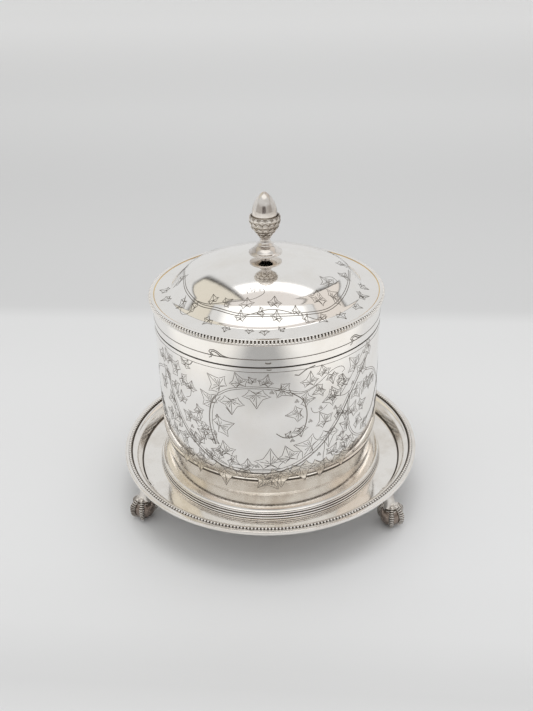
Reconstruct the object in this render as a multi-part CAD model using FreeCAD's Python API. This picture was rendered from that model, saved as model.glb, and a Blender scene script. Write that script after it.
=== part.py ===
import FreeCAD, Part
import math
import os

from FreeCAD import Vector

# Biscuit jar of plated sheet metal: a round drum with a hinged domed lid, fixed
# on a footed stand. Lengths are in millimetres. Z is up from the table, the Z
# axis is the axis of the drum, and the front of the jar faces -Y.

# Stand: a spun dish on three ball-and-claw feet
stand_radius = 120.0        # outside of the turned-down lip
foot_height = 27.5          # table to the underside of the dish
dish_sheet = 1.2
ogee_width = 16.0           # flat part of the dish to the lip
dish_rise = 12.3            # flat part to the top of the rim
rim_width = 5.4             # flat rim outside the ogee
rim_step = 0.9              # fine step between the ogee and the rim
ogee_top_slope = 8.0        # where the ogee meets that step, in degrees
lip_drop = 2.4
well_fillet = 3.5           # hollow curve at the foot of the ogee
ogee_round = 7.0            # round curve at its head
ogee_slope = 62.0           # steepest slope, in degrees

stand_bead_count = 250
stand_bead_radius = 1.4
stand_bead_inset = 2.6      # lip to the line of the beads

# Feet, each cast in one piece: a ball held by four toes under an ankle
foot_angles = {"foot_front_left": -150.0, "foot_front_right": -30.0, "foot_back": 90.0}
foot_inset = 6.6            # lip of the dish to the middle of each ball
ball_radius = 8.5
ball_flat = 0.35            # ground off under the ball
toe_angles = (-56.0, 0.0, 56.0, 180.0)
toe_width = 3.4
toe_thickness = 2.1         # at its knuckles, outside the ball
toe_joints = (0.7, 1.0, 0.6, 1.0, 0.65, 0.85, 0.1)
toe_head_angle = 70.0       # where a toe starts and ends, above the horizontal
toe_tip_angle = -52.0
ankle_radius = 4.6
ankle_pad_radius = 7.5
ankle_lean = 7.0            # the ankle leans in towards the drum
ankle_waist = 1.5           # its narrowest place, below the dish

# Drum
body_radius = 86.0
wall_sheet = 1.4
seam_height = 156.0         # middle of the seam under the lid, above the table
seam_gap = 0.6
neck_height = 58.5          # where the wall stands on the foot moulding
tuck_depth = 1.4            # the wall draws in by this much at the neck
tuck_height = 9.5           # over this height above it
collar_sheet = 1.0
collar_depth = 7.0          # below the seam, inside the wall
collar_rise = 5.0           # above the seam, inside the lid
lid_clearance = 0.4
floor_sheet = 1.4

# Spreading foot of the drum with its reeded base ring
moulding_sheet = 1.4
base_spread = 6.7           # reeds outside the neck
reed_count = 3
reed_height = 1.75
reed_groove = 0.5
reed_ledge = 1.7            # foot of the cove inside the reeds
cove_backing = 2.0          # straight inside of the moulding, behind the neck
ledge_width = 4.0           # turned in under the wall and the floor

# Lid
lid_height = 21.9           # seam to the top of the beads
border_height = 4.9
border_overhang = 2.0       # beads outside the drum
lid_moulding_inset = 0.3    # plain moulding behind the line of the beads
lid_bead_count = 210
lid_bead_height = 2.4
bead_gap_depth = 1.0
dome_sheet = 1.2
dome_sunk = 0.5             # edge of the dome below the top of the skirt
dome_rise = 0.2756          # beads to the top of the dome, as a share of the drum's radius
dome_seat_radius = 7.5      # flat under the finial and over its washer
cap_share = 1.593           # the dome's outline: a shallow cap, a round shoulder
cap_slope = 21.2            # and a hollow flare down to the flange, by slope; the
shoulder_share = 0.2326     # curves' radii are shares of the drum's radius too
shoulder_slope = 51.0
flange_slope = 3.0

# Finial: a baluster stem, a scaly cup and a plain acorn on one stud, all of them
# small castings finished in narrow flats
finial_sides = 24
stem_base_radius = 4.6
stem_base_height = 1.8
disc_radius = 12.5
disc_under = 2.4            # sloping underside of the disc
disc_edge = 1.0
bulge_radius = 9.8
knop_radius = 6.3
neck_ring_radius = 3.7
stem_height = 16.1
cup_height = 16.6
cup_radius = 11.4
cup_wall = 1.2
cup_recess = 5.0
acorn_height = 17.2         # above the cup
acorn_radius = 9.3
acorn_tip_radius = 0.2

# Fasteners
stud_radius = 2.0
hole_clearance = 0.15
stud_spare = 2.0            # stud beyond its nut
finial_stud_reach = 4.0     # into the acorn
washer_radius = 7.0
washer_sheet = 1.2
washer_sides = 20           # stamped with a many-sided edge
nut_across_flats = 8.0
nut_height = 3.2

# Hinge at the back of the seam
pin_radius = 1.2
pin_clearance = 0.05
knuckle_sheet = 1.2
knuckle_count = 3
knuckle_gap = 0.3
hinge_width = 30.0
hinge_stand_off = 0.4       # knuckle clear of the wall and the skirt
leaf_sheet = 1.2
leaf_height = 11.0
web_height = 3.4
sweep_clearance = 0.35      # one leaf clear of the other's knuckles

# Heights and radii that follow from the sizes above
well_height = foot_height + dish_sheet
well_radius = stand_radius - ogee_width
foot_circle = stand_radius - foot_inset
rim_height = well_height + dish_rise
wall_top = seam_height - seam_gap / 2
skirt_bottom = seam_height + seam_gap / 2
neck_radius = body_radius - tuck_depth
base_radius = neck_radius + base_spread
cove_radius = base_radius - reed_ledge
wall_inner = body_radius - wall_sheet
skirt_inner = wall_inner + lid_clearance
floor_top = neck_height + floor_sheet
lid_edge_height = seam_height + lid_height
border_radius = body_radius + border_overhang
dome_apex_height = lid_edge_height + dome_rise * body_radius
cap_radius = cap_share * body_radius
shoulder_radius = shoulder_share * body_radius
stem_base = dome_apex_height
cup_base = stem_base + stem_height
acorn_base = cup_base + cup_height
knuckle_radius = pin_radius + knuckle_sheet
hinge_y = body_radius + hinge_stand_off + knuckle_radius
stud_hole = stud_radius + hole_clearance


def curve(start, radius, slope_from, slope_to, flats):
    """Points of a round or hollow curve that runs outwards from start.

    Slopes are in degrees, downwards positive. The curve is turned as a few
    straight flats, and start itself isn't among the points returned.
    """
    bend = 1 if slope_to > slope_from else -1
    first = math.radians(slope_from)
    points = []
    for step in range(1, flats + 1):
        slope = math.radians(slope_from + (slope_to - slope_from) * step / flats)
        r = start[0] + bend * radius * (math.sin(slope) - math.sin(first))
        z = start[1] - bend * radius * (math.cos(first) - math.cos(slope))
        points.append((r, z))
    return points


def offset(path, distance):
    """The path moved sideways by distance, to the right of its direction."""
    normals = []
    for (r1, z1), (r2, z2) in zip(path, path[1:]):
        length = math.hypot(r2 - r1, z2 - z1)
        normals.append(((z2 - z1) / length, (r1 - r2) / length))
    moved = []
    for index, (r, z) in enumerate(path):
        before = normals[max(index - 1, 0)]
        after = normals[min(index, len(normals) - 1)]
        share = distance / (1 + before[0] * after[0] + before[1] * after[1])
        moved.append((r + share * (before[0] + after[0]), z + share * (before[1] + after[1])))
    return moved


def turned(outline):
    """A solid of revolution about the Z axis from its (radius, height) outline."""
    corners = [Vector(r, 0, z) for r, z in outline + outline[:1]]
    face = Part.Face(Part.makePolygon(corners))
    return face.revolve(Vector(0, 0, 0), Vector(0, 0, 1), 360)


def faceted(stations, sides):
    """A flat-faced solid through level polygons, each given as (centre, radius)."""
    rings = []
    for centre, radius in stations:
        ring = []
        for k in range(sides):
            angle = 2 * math.pi * (k + 0.5) / sides
            ring.append(centre + Vector(radius * math.cos(angle), radius * math.sin(angle), 0))
        rings.append(ring)
    outlines = [rings[0][::-1], rings[-1]]
    for low, high in zip(rings, rings[1:]):
        for k in range(sides):
            after = (k + 1) % sides
            outlines.append([low[k], low[after], high[after], high[k]])
    faces = [Part.Face(Part.makePolygon(outline + outline[:1])) for outline in outlines]
    return Part.Solid(Part.Shell(faces))


def tube(outer, inner, bottom, top):
    return turned([(inner, bottom), (outer, bottom), (outer, top), (inner, top)])


def rod(radius, bottom, top):
    return Part.makeCylinder(radius, top - bottom, Vector(0, 0, bottom))


def in_flats(outline, sides):
    """A small upright piece with flat sides from its (radius, height) outline."""
    return faceted([(Vector(0, 0, z), r) for r, z in outline], sides)


def hex_nut(bottom):
    corner_radius = nut_across_flats / math.sqrt(3)
    blank = in_flats([(corner_radius, bottom), (corner_radius, bottom + nut_height)], 6)
    return blank.cut(rod(stud_radius, bottom - 1, bottom + nut_height + 1))


def flat_washer(bottom):
    blank = in_flats([(washer_radius, bottom), (washer_radius, bottom + washer_sheet)], washer_sides)
    return blank.cut(rod(stud_hole, bottom - 1, bottom + washer_sheet + 1))


def bead_ring(count, inner, peak, gap, bottom, height):
    """A wire with a row of beads, one corner of the outline to a bead."""
    corners = []
    for k in range(2 * count + 1):
        angle = math.pi * k / count
        radius = peak if k % 2 == 0 else gap
        corners.append(Vector(radius * math.cos(angle), radius * math.sin(angle), bottom))
    blank = Part.Face(Part.makePolygon(corners))
    hole = Part.Face(Part.Wire(Part.makeCircle(inner, Vector(0, 0, bottom))))
    return blank.cut(hole).extrude(Vector(0, 0, height))


# Dish: the upper side is the path, and the sheet lies under it
def dish_path(head_flats=2):
    """The dish's upper side; the sheet's underside is drawn with fewer flats."""
    rim_inner = stand_radius - rim_width
    path = [(stud_hole, well_height), (well_radius, well_height)]
    path += curve(path[-1], well_fillet, 0.0, -ogee_slope, 1)
    head_top = rim_height - rim_step
    head = curve((0.0, 0.0), ogee_round, -ogee_slope, -ogee_top_slope, head_flats)
    head_start = (rim_inner - head[-1][0], head_top - head[-1][1])
    path += [head_start] + [(head_start[0] + r, head_start[1] + z) for r, z in head]
    path += [(rim_inner + rim_step / 2, rim_height), (stand_radius, rim_height)]
    return path + [(stand_radius, rim_height - lip_drop)]


def dish_underside():
    return offset(dish_path(head_flats=1), dish_sheet)


def stand_dish():
    return turned(dish_path() + dish_underside()[::-1])


def stand_bead_border():
    line = stand_radius - stand_bead_inset
    return bead_ring(
        stand_bead_count,
        line - stand_bead_radius,
        line + stand_bead_radius,
        line + stand_bead_radius - bead_gap_depth,
        rim_height,
        stand_bead_radius,
    )


# Feet
def claw_ball(centre):
    """The ball, cut in flats as the foundry's pattern was filed."""
    stations = []
    for latitude in (-80, -50, -18, 18, 50, 80):
        angle = math.radians(latitude)
        height = Vector(0, 0, ball_radius * math.sin(angle))
        stations.append((centre + height, ball_radius * math.cos(angle)))
    return faceted(stations, 12)


def toe(ball, azimuth):
    """A toe that bends down over the ball in three joints and ends in a nail."""
    outer, inner = [], []
    steps = len(toe_joints) - 1
    for k, thickness in enumerate(toe_joints):
        angle = math.radians(toe_head_angle + (toe_tip_angle - toe_head_angle) * k / steps)
        reach = ball_radius + thickness * toe_thickness
        outer.append(Vector(reach * math.cos(angle), 0, reach * math.sin(angle)))
        inner.append(Vector(0.8 * ball_radius * math.cos(angle), 0, 0.8 * ball_radius * math.sin(angle)))
    profile = Part.Face(Part.makePolygon(outer + inner[::-1] + outer[:1]))
    solid = profile.extrude(Vector(0, toe_width, 0))
    solid.translate(Vector(0, -toe_width / 2, 0))
    solid.rotate(Vector(0, 0, 0), Vector(0, 0, 1), azimuth)
    solid.translate(ball)
    return solid


def claw_foot(direction):
    ball_centre = Vector(foot_circle, 0, ball_radius - ball_flat)
    foot = claw_ball(ball_centre)
    for azimuth in toe_angles:
        foot = foot.fuse(toe(ball_centre, azimuth))
    ankle_top = foot_height + dish_rise
    ankle = []
    for lean, height, share in (
        (0.0, ball_centre.z + 0.6 * ball_radius, 1.15),
        (0.15, ball_centre.z + 1.25 * ball_radius, 1.0),
        (0.55, foot_height - ankle_waist, 0.95),
        (1.0, ankle_top, ankle_pad_radius / ankle_radius),
    ):
        ankle.append((Vector(foot_circle - ankle_lean * lean, 0, height), ankle_radius * share))
    foot = foot.fuse(faceted(ankle, 8))
    # The dish and everything above it is cut away, so the ankle fits its underside
    under = dish_underside()
    above = [(0.0, under[0][1])] + under + [(2 * stand_radius, under[-1][1])]
    above += [(2 * stand_radius, 2 * ankle_top), (0.0, 2 * ankle_top)]
    foot = foot.cut(turned(above))
    slab = Part.makeBox(2 * stand_radius, stand_radius, foot_height, Vector(0, -stand_radius / 2, -foot_height))
    foot = foot.cut(slab)
    foot.rotate(Vector(0, 0, 0), Vector(0, 0, 1), direction)
    return foot


# Drum
def jar_wall():
    tuck_top = neck_height + tuck_height
    outer = [
        (neck_radius, neck_height),
        (neck_radius + 0.7 * (body_radius - neck_radius), neck_height + 0.45 * tuck_height),
        (body_radius, tuck_top),
        (body_radius, wall_top),
    ]
    inner = [(wall_inner, wall_top), (wall_inner, tuck_top), (neck_radius - wall_sheet, neck_height)]
    return turned(outer + inner)


def jar_foot_moulding():
    reeds_top = well_height + reed_count * reed_height
    drop = neck_height - reeds_top
    flare = cove_radius - neck_radius
    cove_curve = (flare**2 + drop**2) / (2 * flare)
    upright = 90.0
    spread = math.degrees(math.asin(drop / cove_curve))
    ledge_inner = neck_radius - ledge_width
    outer = [(ledge_inner, neck_height), (neck_radius, neck_height)]
    outer += curve(outer[-1], cove_curve, upright, upright - spread, 2)
    for reed in range(reed_count):
        top = reeds_top - reed * reed_height
        outer += [(base_radius, top - 0.15 * reed_height), (base_radius, top - 0.85 * reed_height)]
        if reed < reed_count - 1:
            outer += [(base_radius - reed_groove, top - reed_height)]
    outer += [(base_radius, well_height)]
    inner = [
        (cove_radius - cove_backing, well_height),
        (neck_radius - cove_backing, neck_height - moulding_sheet),
        (ledge_inner, neck_height - moulding_sheet),
    ]
    return turned(outer + inner)


def jar_floor():
    return tube(neck_radius - wall_sheet, stud_radius, neck_height, floor_top)


def jar_collar():
    return tube(wall_inner, wall_inner - collar_sheet, seam_height - collar_depth, seam_height + collar_rise)


# Fasteners of the stand
def stand_stud():
    nut_bottom = foot_height - washer_sheet - nut_height
    return rod(stud_radius, nut_bottom - stud_spare, floor_top)


def stand_washer():
    return flat_washer(foot_height - washer_sheet)


def stand_nut():
    return hex_nut(foot_height - washer_sheet - nut_height)


# Lid
def dome_path(cap_flats=3, shoulder_flats=2, flare_flats=3):
    """The dome's upper side, from the stud hole out to the skirt."""
    edge_height = lid_edge_height - dome_sunk
    path = [(stud_hole, dome_apex_height), (dome_seat_radius, dome_apex_height)]
    path += curve(path[-1], cap_radius, 0.0, cap_slope, cap_flats)
    path += curve(path[-1], shoulder_radius, cap_slope, shoulder_slope, shoulder_flats)
    steep, flat = math.radians(shoulder_slope), math.radians(flange_slope)
    r, z = path[-1]
    fall = z - edge_height - math.tan(flat) * (skirt_inner - r)
    share = math.cos(flat) - math.cos(steep) - math.tan(flat) * (math.sin(steep) - math.sin(flat))
    path += curve(path[-1], fall / share, shoulder_slope, flange_slope, flare_flats)
    return path + [(skirt_inner, edge_height)]


def lid_dome():
    path = dome_path()
    under = offset(dome_path(cap_flats=2, shoulder_flats=1, flare_flats=2), dome_sheet)
    under[0] = (stud_hole, path[0][1] - dome_sheet)
    under[-1] = (skirt_inner, path[-1][1] - dome_sheet)
    return turned(path + under[::-1])


def lid_skirt():
    moulding_bottom = lid_edge_height - border_height
    moulding_top = lid_edge_height - lid_bead_height
    moulding_radius = border_radius - lid_moulding_inset
    outline = [(skirt_inner, skirt_bottom), (body_radius, skirt_bottom), (body_radius, moulding_bottom)]
    outline += [(moulding_radius, moulding_bottom), (moulding_radius, moulding_top)]
    outline += [(body_radius, moulding_top), (body_radius, lid_edge_height), (skirt_inner, lid_edge_height)]
    return turned(outline)


def lid_bead_border():
    bottom = lid_edge_height - lid_bead_height
    gap = border_radius - bead_gap_depth
    return bead_ring(lid_bead_count, body_radius, border_radius, gap, bottom, lid_bead_height)


# Finial
def finial_stem():
    z = stem_base
    disc_bottom = z + stem_base_height
    disc_top = disc_bottom + disc_under + disc_edge
    rest = cup_base - disc_top
    outline = [
        (stem_base_radius, z),
        (stem_base_radius, disc_bottom),
        (disc_radius, disc_bottom + disc_under),
        (disc_radius, disc_top),
        (bulge_radius, disc_top + 0.1 * rest),
        (knop_radius, disc_top + 0.42 * rest),
        (knop_radius, disc_top + 0.55 * rest),
        (neck_ring_radius, disc_top + 0.72 * rest),
        (neck_ring_radius, cup_base),
    ]
    return in_flats(outline, finial_sides).cut(rod(stud_radius, z - 1, cup_base + 1))


def finial_cup():
    bowl = [
        (neck_ring_radius, cup_base),
        (0.62 * cup_radius, cup_base + 0.17 * cup_height),
        (0.93 * cup_radius, cup_base + 0.47 * cup_height),
        (cup_radius, cup_base + 0.78 * cup_height),
        (cup_radius - 0.3 * cup_wall, acorn_base),
    ]
    recess_radius = cup_radius - cup_wall
    recess = [(recess_radius, acorn_base - cup_recess), (recess_radius, acorn_base + 1)]
    cup = in_flats(bowl, finial_sides).cut(in_flats(recess, finial_sides))
    return cup.cut(rod(stud_radius, cup_base - 1, acorn_base))


def finial_acorn():
    """A pointed acorn whose side is one arc, upright where it leaves the cup."""
    side_radius = (acorn_radius**2 + acorn_height**2) / (2 * acorn_radius)
    lean = math.degrees(math.asin(acorn_height / side_radius))
    side = [(acorn_radius, acorn_base)]
    for step in range(1, 5):
        angle = math.radians(lean * step / 4)
        side.append((acorn_radius - side_radius * (1 - math.cos(angle)), acorn_base + side_radius * math.sin(angle)))
    side[-1] = (acorn_tip_radius, acorn_base + acorn_height)
    foot = acorn_base - cup_recess
    solid = in_flats([(acorn_radius, foot)] + side, finial_sides)
    return solid.cut(rod(stud_radius, foot - 1, foot + finial_stud_reach))


def finial_stud():
    under_dome = dome_apex_height - dome_sheet
    bottom = under_dome - washer_sheet - nut_height - stud_spare
    return rod(stud_radius, bottom, acorn_base - cup_recess + finial_stud_reach)


def finial_washer():
    return flat_washer(dome_apex_height - dome_sheet - washer_sheet)


def finial_nut():
    return hex_nut(dome_apex_height - dome_sheet - washer_sheet - nut_height)


# Hinge: two leaves soldered outside the wall and the skirt, with their knuckles
# on one pin behind the seam
def knuckle_span(index):
    """The start and width of one knuckle, with half a gap at each end."""
    pitch = hinge_width / knuckle_count
    return -hinge_width / 2 + index * pitch + knuckle_gap / 2, pitch - knuckle_gap


def along_pin(radius, start, width):
    return Part.makeCylinder(radius, width, Vector(start, hinge_y, seam_height), Vector(1, 0, 0))


def hinge_leaf(first_knuckle, plate_bottom, plate_top, web_bottom):
    plate = tube(body_radius + leaf_sheet, body_radius, plate_bottom, plate_top)
    corner = Vector(-hinge_width / 2, 0, plate_bottom)
    leaf = plate.common(Part.makeBox(hinge_width, stand_radius, plate_top - plate_bottom, corner))
    wall = rod(body_radius, 0, lid_edge_height)
    for index in range(knuckle_count):
        start, width = knuckle_span(index)
        if index % 2 == first_knuckle:
            web_depth = hinge_y - body_radius + 2 * leaf_sheet
            corner = Vector(start, body_radius - 2 * leaf_sheet, web_bottom)
            web = Part.makeBox(width, web_depth, web_height, corner).cut(wall)
            leaf = leaf.fuse(web).fuse(along_pin(knuckle_radius, start, width))
    for index in range(knuckle_count):
        start, width = knuckle_span(index)
        if index % 2 != first_knuckle:
            sweep = along_pin(knuckle_radius + sweep_clearance, start - knuckle_gap, width + 2 * knuckle_gap)
            leaf = leaf.cut(sweep)
    return leaf.cut(along_pin(pin_radius + pin_clearance, -hinge_width, 2 * hinge_width)).removeSplitter()


def hinge_body_leaf():
    return hinge_leaf(0, wall_top - leaf_height, wall_top, seam_height - web_height)


def hinge_lid_leaf():
    return hinge_leaf(1, skirt_bottom, skirt_bottom + leaf_height, seam_height)


def hinge_pin():
    return along_pin(pin_radius, -hinge_width / 2, hinge_width)


pieces = {
    "stand_dish": stand_dish(),
    "stand_bead_border": stand_bead_border(),
    "jar_foot_moulding": jar_foot_moulding(),
    "jar_wall": jar_wall(),
    "jar_floor": jar_floor(),
    "jar_collar": jar_collar(),
    "stand_stud": stand_stud(),
    "stand_washer": stand_washer(),
    "stand_nut": stand_nut(),
    "lid_skirt": lid_skirt(),
    "lid_dome": lid_dome(),
    "lid_bead_border": lid_bead_border(),
    "finial_stem": finial_stem(),
    "finial_cup": finial_cup(),
    "finial_acorn": finial_acorn(),
    "finial_stud": finial_stud(),
    "finial_washer": finial_washer(),
    "finial_nut": finial_nut(),
    "hinge_body_leaf": hinge_body_leaf(),
    "hinge_lid_leaf": hinge_lid_leaf(),
    "hinge_pin": hinge_pin(),
}
for name, direction in foot_angles.items():
    pieces[name] = claw_foot(direction)

os.makedirs("parts", exist_ok=True)
for name, shape in pieces.items():
    shape.exportStep(f"parts/{name}.step")
    print(name, shape.isValid(), len(shape.Solids), round(shape.Volume, 1))
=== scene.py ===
import math
import random

import bmesh
import bpy
from mathutils import Matrix, Vector


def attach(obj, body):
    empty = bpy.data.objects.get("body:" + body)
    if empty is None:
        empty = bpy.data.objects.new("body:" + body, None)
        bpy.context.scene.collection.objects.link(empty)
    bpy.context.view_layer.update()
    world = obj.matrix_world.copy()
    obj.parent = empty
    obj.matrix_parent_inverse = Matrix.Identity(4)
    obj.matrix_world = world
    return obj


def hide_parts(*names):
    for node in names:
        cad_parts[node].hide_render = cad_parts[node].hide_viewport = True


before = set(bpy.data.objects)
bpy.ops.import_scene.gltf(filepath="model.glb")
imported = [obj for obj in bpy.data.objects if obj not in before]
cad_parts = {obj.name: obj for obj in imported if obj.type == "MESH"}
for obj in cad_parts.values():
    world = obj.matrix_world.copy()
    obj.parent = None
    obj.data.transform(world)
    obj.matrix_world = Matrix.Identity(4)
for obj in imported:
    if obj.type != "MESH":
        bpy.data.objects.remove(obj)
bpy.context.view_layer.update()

# ----------------------------------------
# Stand dish: a disc of plated sheet, spun over a chuck so that its edge rises in
# an ogee to a flat rim with a turned-down lip. It carries the whole jar and is
# soldered to its three feet. Lengths are in millimetres until they reach a mesh.
# ----------------------------------------
MM = 0.001
STAND_RADIUS = 120.0
WELL_HEIGHT = 28.7
WELL_RADIUS = 104.0
RIM_HEIGHT = 41.0
RIM_WIDTH = 5.4
RIM_INNER = STAND_RADIUS - RIM_WIDTH
RIM_STEP = 0.9
LIP_DROP = 2.4
DISH_SHEET = 1.2
STUD_RADIUS = 2.0
STUD_HOLE = 2.15
# Dark bands on the dish: at the foot of the ogee a painted shade line, at the rim step and under
# the beads tarnish with painted shade.
OGEE_PAINTED_SHADE = (WELL_RADIUS + 1.9, WELL_RADIUS + 3.2)
STEP_TARNISH_AND_SHADE = (RIM_INNER - 0.75, RIM_INNER + RIM_STEP / 2)
BEAD_TARNISH_AND_SHADE = (114.9, 117.4)
POLISH_WHITE = (0.95, 0.93, 0.905)
POLISH_DULL = (0.83, 0.78, 0.71)
# Near-black tones for grooves, gaps and seams: partly tarnish, partly painted shade.
SHADE_AND_TARNISH_BROWN = (0.12, 0.10, 0.08)
SHADE_AND_TARNISH_BLACK = (0.03, 0.025, 0.02)


def curve(start, radius, slope_from, slope_to, flats):
    """Points of an arc that runs outwards from start, by its slopes downwards."""
    bend = 1 if slope_to > slope_from else -1
    first = math.radians(slope_from)
    points = []
    for step in range(1, flats + 1):
        slope = math.radians(slope_from + (slope_to - slope_from) * step / flats)
        r = start[0] + bend * radius * (math.sin(slope) - math.sin(first))
        z = start[1] - bend * radius * (math.cos(first) - math.cos(slope))
        points.append((r, z))
    return points


def offset(path, distance):
    """The path moved sideways by distance, to the right of its direction."""
    normals = []
    for (r1, z1), (r2, z2) in zip(path, path[1:]):
        length = math.hypot(r2 - r1, z2 - z1)
        normals.append(((z2 - z1) / length, (r1 - r2) / length))
    moved = []
    for index, (r, z) in enumerate(path):
        before = normals[max(index - 1, 0)]
        after = normals[min(index, len(normals) - 1)]
        share = distance / (1 + before[0] * after[0] + before[1] * after[1])
        moved.append((r + share * (before[0] + after[0]), z + share * (before[1] + after[1])))
    return moved


def eased(path, radius, flats=3):
    """The open path with each corner of more than 25 degrees rounded off."""
    points = [path[0]]
    for before, corner, after in zip(path, path[1:], path[2:]):
        back = Vector(before) - Vector(corner)
        ahead = Vector(after) - Vector(corner)
        turn = math.pi - back.angle(ahead)
        if turn < math.radians(25):
            points.append(corner)
            continue
        reach = min(radius * math.tan(turn / 2), 0.45 * back.length, 0.45 * ahead.length)
        start = Vector(corner) + back.normalized() * reach
        end = Vector(corner) + ahead.normalized() * reach
        for step in range(flats + 1):
            t = step / flats
            point = start * (1 - t) ** 2 + 2 * t * (1 - t) * Vector(corner) + end * t**2
            points.append(tuple(point))
    return points + [path[-1]]


def spun(outline, steps=240, closed=True):
    """A bmesh turned about the Z axis from a (radius, height) outline."""
    bm = bmesh.new()
    corners = [bm.verts.new((r * MM, 0, z * MM)) for r, z in outline]
    edges = [bm.edges.new(pair) for pair in zip(corners, corners[1:])]
    if closed:
        edges.append(bm.edges.new((corners[-1], corners[0])))
    bmesh.ops.spin(
        bm, geom=corners + edges, cent=(0, 0, 0), axis=(0, 0, 1),
        angle=2 * math.pi, steps=steps, use_merge=True,
    )
    bmesh.ops.remove_doubles(bm, verts=bm.verts, dist=1e-6)
    bmesh.ops.dissolve_degenerate(bm, edges=bm.edges, dist=1e-7)
    bmesh.ops.recalc_face_normals(bm, faces=bm.faces)
    return bm


def piece(name, bm, materials, sharp=40):
    """The bmesh as a smooth-shaded object with its corners of over sharp degrees kept."""
    mesh = bpy.data.meshes.new(name)
    bm.to_mesh(mesh)
    bm.free()
    mesh.shade_smooth()
    mesh.set_sharp_from_angle(angle=math.radians(sharp))
    for material in materials:
        mesh.materials.append(material)
    obj = bpy.data.objects.new(name, mesh)
    bpy.context.scene.collection.objects.link(obj)
    return obj


def place_of(face):
    """Distance from the axis and height of a face's middle, in millimetres."""
    middle = face.calc_center_median()
    return math.hypot(middle.x, middle.y) / MM, middle.z / MM


def add_node(tree, kind, place, **inputs):
    """A new shader node; inputs are named with _ for each space."""
    node = tree.nodes.new(kind)
    node.location = place
    for key, value in inputs.items():
        node.inputs[key.replace("_", " ")].default_value = value
    return node


# Wear of rubbed plate: soft clouds of tarnish and very fine rubbing marks
rubbed = bpy.data.node_groups.new("rubbed plate", "ShaderNodeTree")
for socket, kind, start in (
    ("Bright", "NodeSocketColor", (0.9, 0.9, 0.9, 1)),
    ("Dull", "NodeSocketColor", (0.7, 0.7, 0.7, 1)),
    ("Tarnish", "NodeSocketFloat", 0.3),
    ("Smooth", "NodeSocketFloat", 0.08),
    ("Rough", "NodeSocketFloat", 0.2),
):
    rubbed.interface.new_socket(socket, in_out="INPUT", socket_type=kind).default_value = start
rubbed.interface.new_socket("Color", in_out="OUTPUT", socket_type="NodeSocketColor")
rubbed.interface.new_socket("Roughness", in_out="OUTPUT", socket_type="NodeSocketFloat")
rubbed.interface.new_socket("Height", in_out="OUTPUT", socket_type="NodeSocketFloat")
given = add_node(rubbed, "NodeGroupInput", (-900, 0))
place = add_node(rubbed, "ShaderNodeTexCoord", (-900, -300))
clouds = add_node(rubbed, "ShaderNodeTexNoise", (-650, 100), Scale=38.0, Detail=5.0, Roughness=0.62)
spread = add_node(rubbed, "ShaderNodeMapRange", (-450, 100), From_Min=0.42, From_Max=0.75)
amount = add_node(rubbed, "ShaderNodeMath", (-250, 100))
amount.operation = "MULTIPLY"
tone = add_node(rubbed, "ShaderNodeMix", (-50, 150))
tone.data_type = "RGBA"
marks = add_node(rubbed, "ShaderNodeTexNoise", (-650, -250), Scale=420.0, Detail=7.0, Roughness=0.7)
haze = add_node(rubbed, "ShaderNodeMapRange", (-450, -250), From_Min=0.3, From_Max=0.8)
result = add_node(rubbed, "NodeGroupOutput", (250, 0))
for start, end in (
    (place.outputs["Object"], clouds.inputs["Vector"]),
    (place.outputs["Object"], marks.inputs["Vector"]),
    (clouds.outputs[0], spread.inputs["Value"]),
    (spread.outputs[0], amount.inputs[0]),
    (given.outputs["Tarnish"], amount.inputs[1]),
    (amount.outputs[0], tone.inputs["Factor"]),
    (given.outputs["Bright"], tone.inputs[6]),
    (given.outputs["Dull"], tone.inputs[7]),
    (marks.outputs[0], haze.inputs["Value"]),
    (given.outputs["Smooth"], haze.inputs["To Min"]),
    (given.outputs["Rough"], haze.inputs["To Max"]),
    (tone.outputs[2], result.inputs["Color"]),
    (haze.outputs[0], result.inputs["Roughness"]),
    (marks.outputs[0], result.inputs["Height"]),
):
    rubbed.links.new(start, end)


def silver(name, bright, dull, tarnish, smooth, rough, bump):
    """A rubbed metal finish: two tones, a share of tarnish and a range of gloss."""
    material = bpy.data.materials.new(name)
    material.use_nodes = True
    tree = material.node_tree
    shader = tree.nodes["Principled BSDF"]
    shader.inputs["Metallic"].default_value = 1.0
    wear = add_node(tree, "ShaderNodeGroup", (-500, 100))
    wear.node_tree = rubbed
    wear.inputs["Bright"].default_value = (*bright, 1)
    wear.inputs["Dull"].default_value = (*dull, 1)
    wear.inputs["Tarnish"].default_value = tarnish
    wear.inputs["Smooth"].default_value = smooth
    wear.inputs["Rough"].default_value = rough
    relief = add_node(tree, "ShaderNodeBump", (-250, -200), Strength=bump, Distance=0.0002)
    tree.links.new(wear.outputs["Color"], shader.inputs["Base Color"])
    tree.links.new(wear.outputs["Roughness"], shader.inputs["Roughness"])
    tree.links.new(wear.outputs["Height"], relief.inputs["Height"])
    tree.links.new(relief.outputs["Normal"], shader.inputs["Normal"])
    return material


plate = silver("polished plate", POLISH_WHITE, POLISH_DULL, 0.45, 0.05, 0.16, 0.05)
# Near-black in grooves, gaps, seams and under beads: partly tarnish, partly painted shade.
near_black = silver("tarnish and painted shade in the grooves", SHADE_AND_TARNISH_BROWN, SHADE_AND_TARNISH_BLACK, 0.7, 0.3, 0.6, 0.3)
aged = silver("aged plate", (0.93, 0.905, 0.87), (0.70, 0.64, 0.56), 0.7, 0.06, 0.18, 0.1)
dish_plate = silver("worn plate", (0.93, 0.90, 0.86), (0.72, 0.65, 0.57), 0.6, 0.05, 0.16, 0.06)


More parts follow.
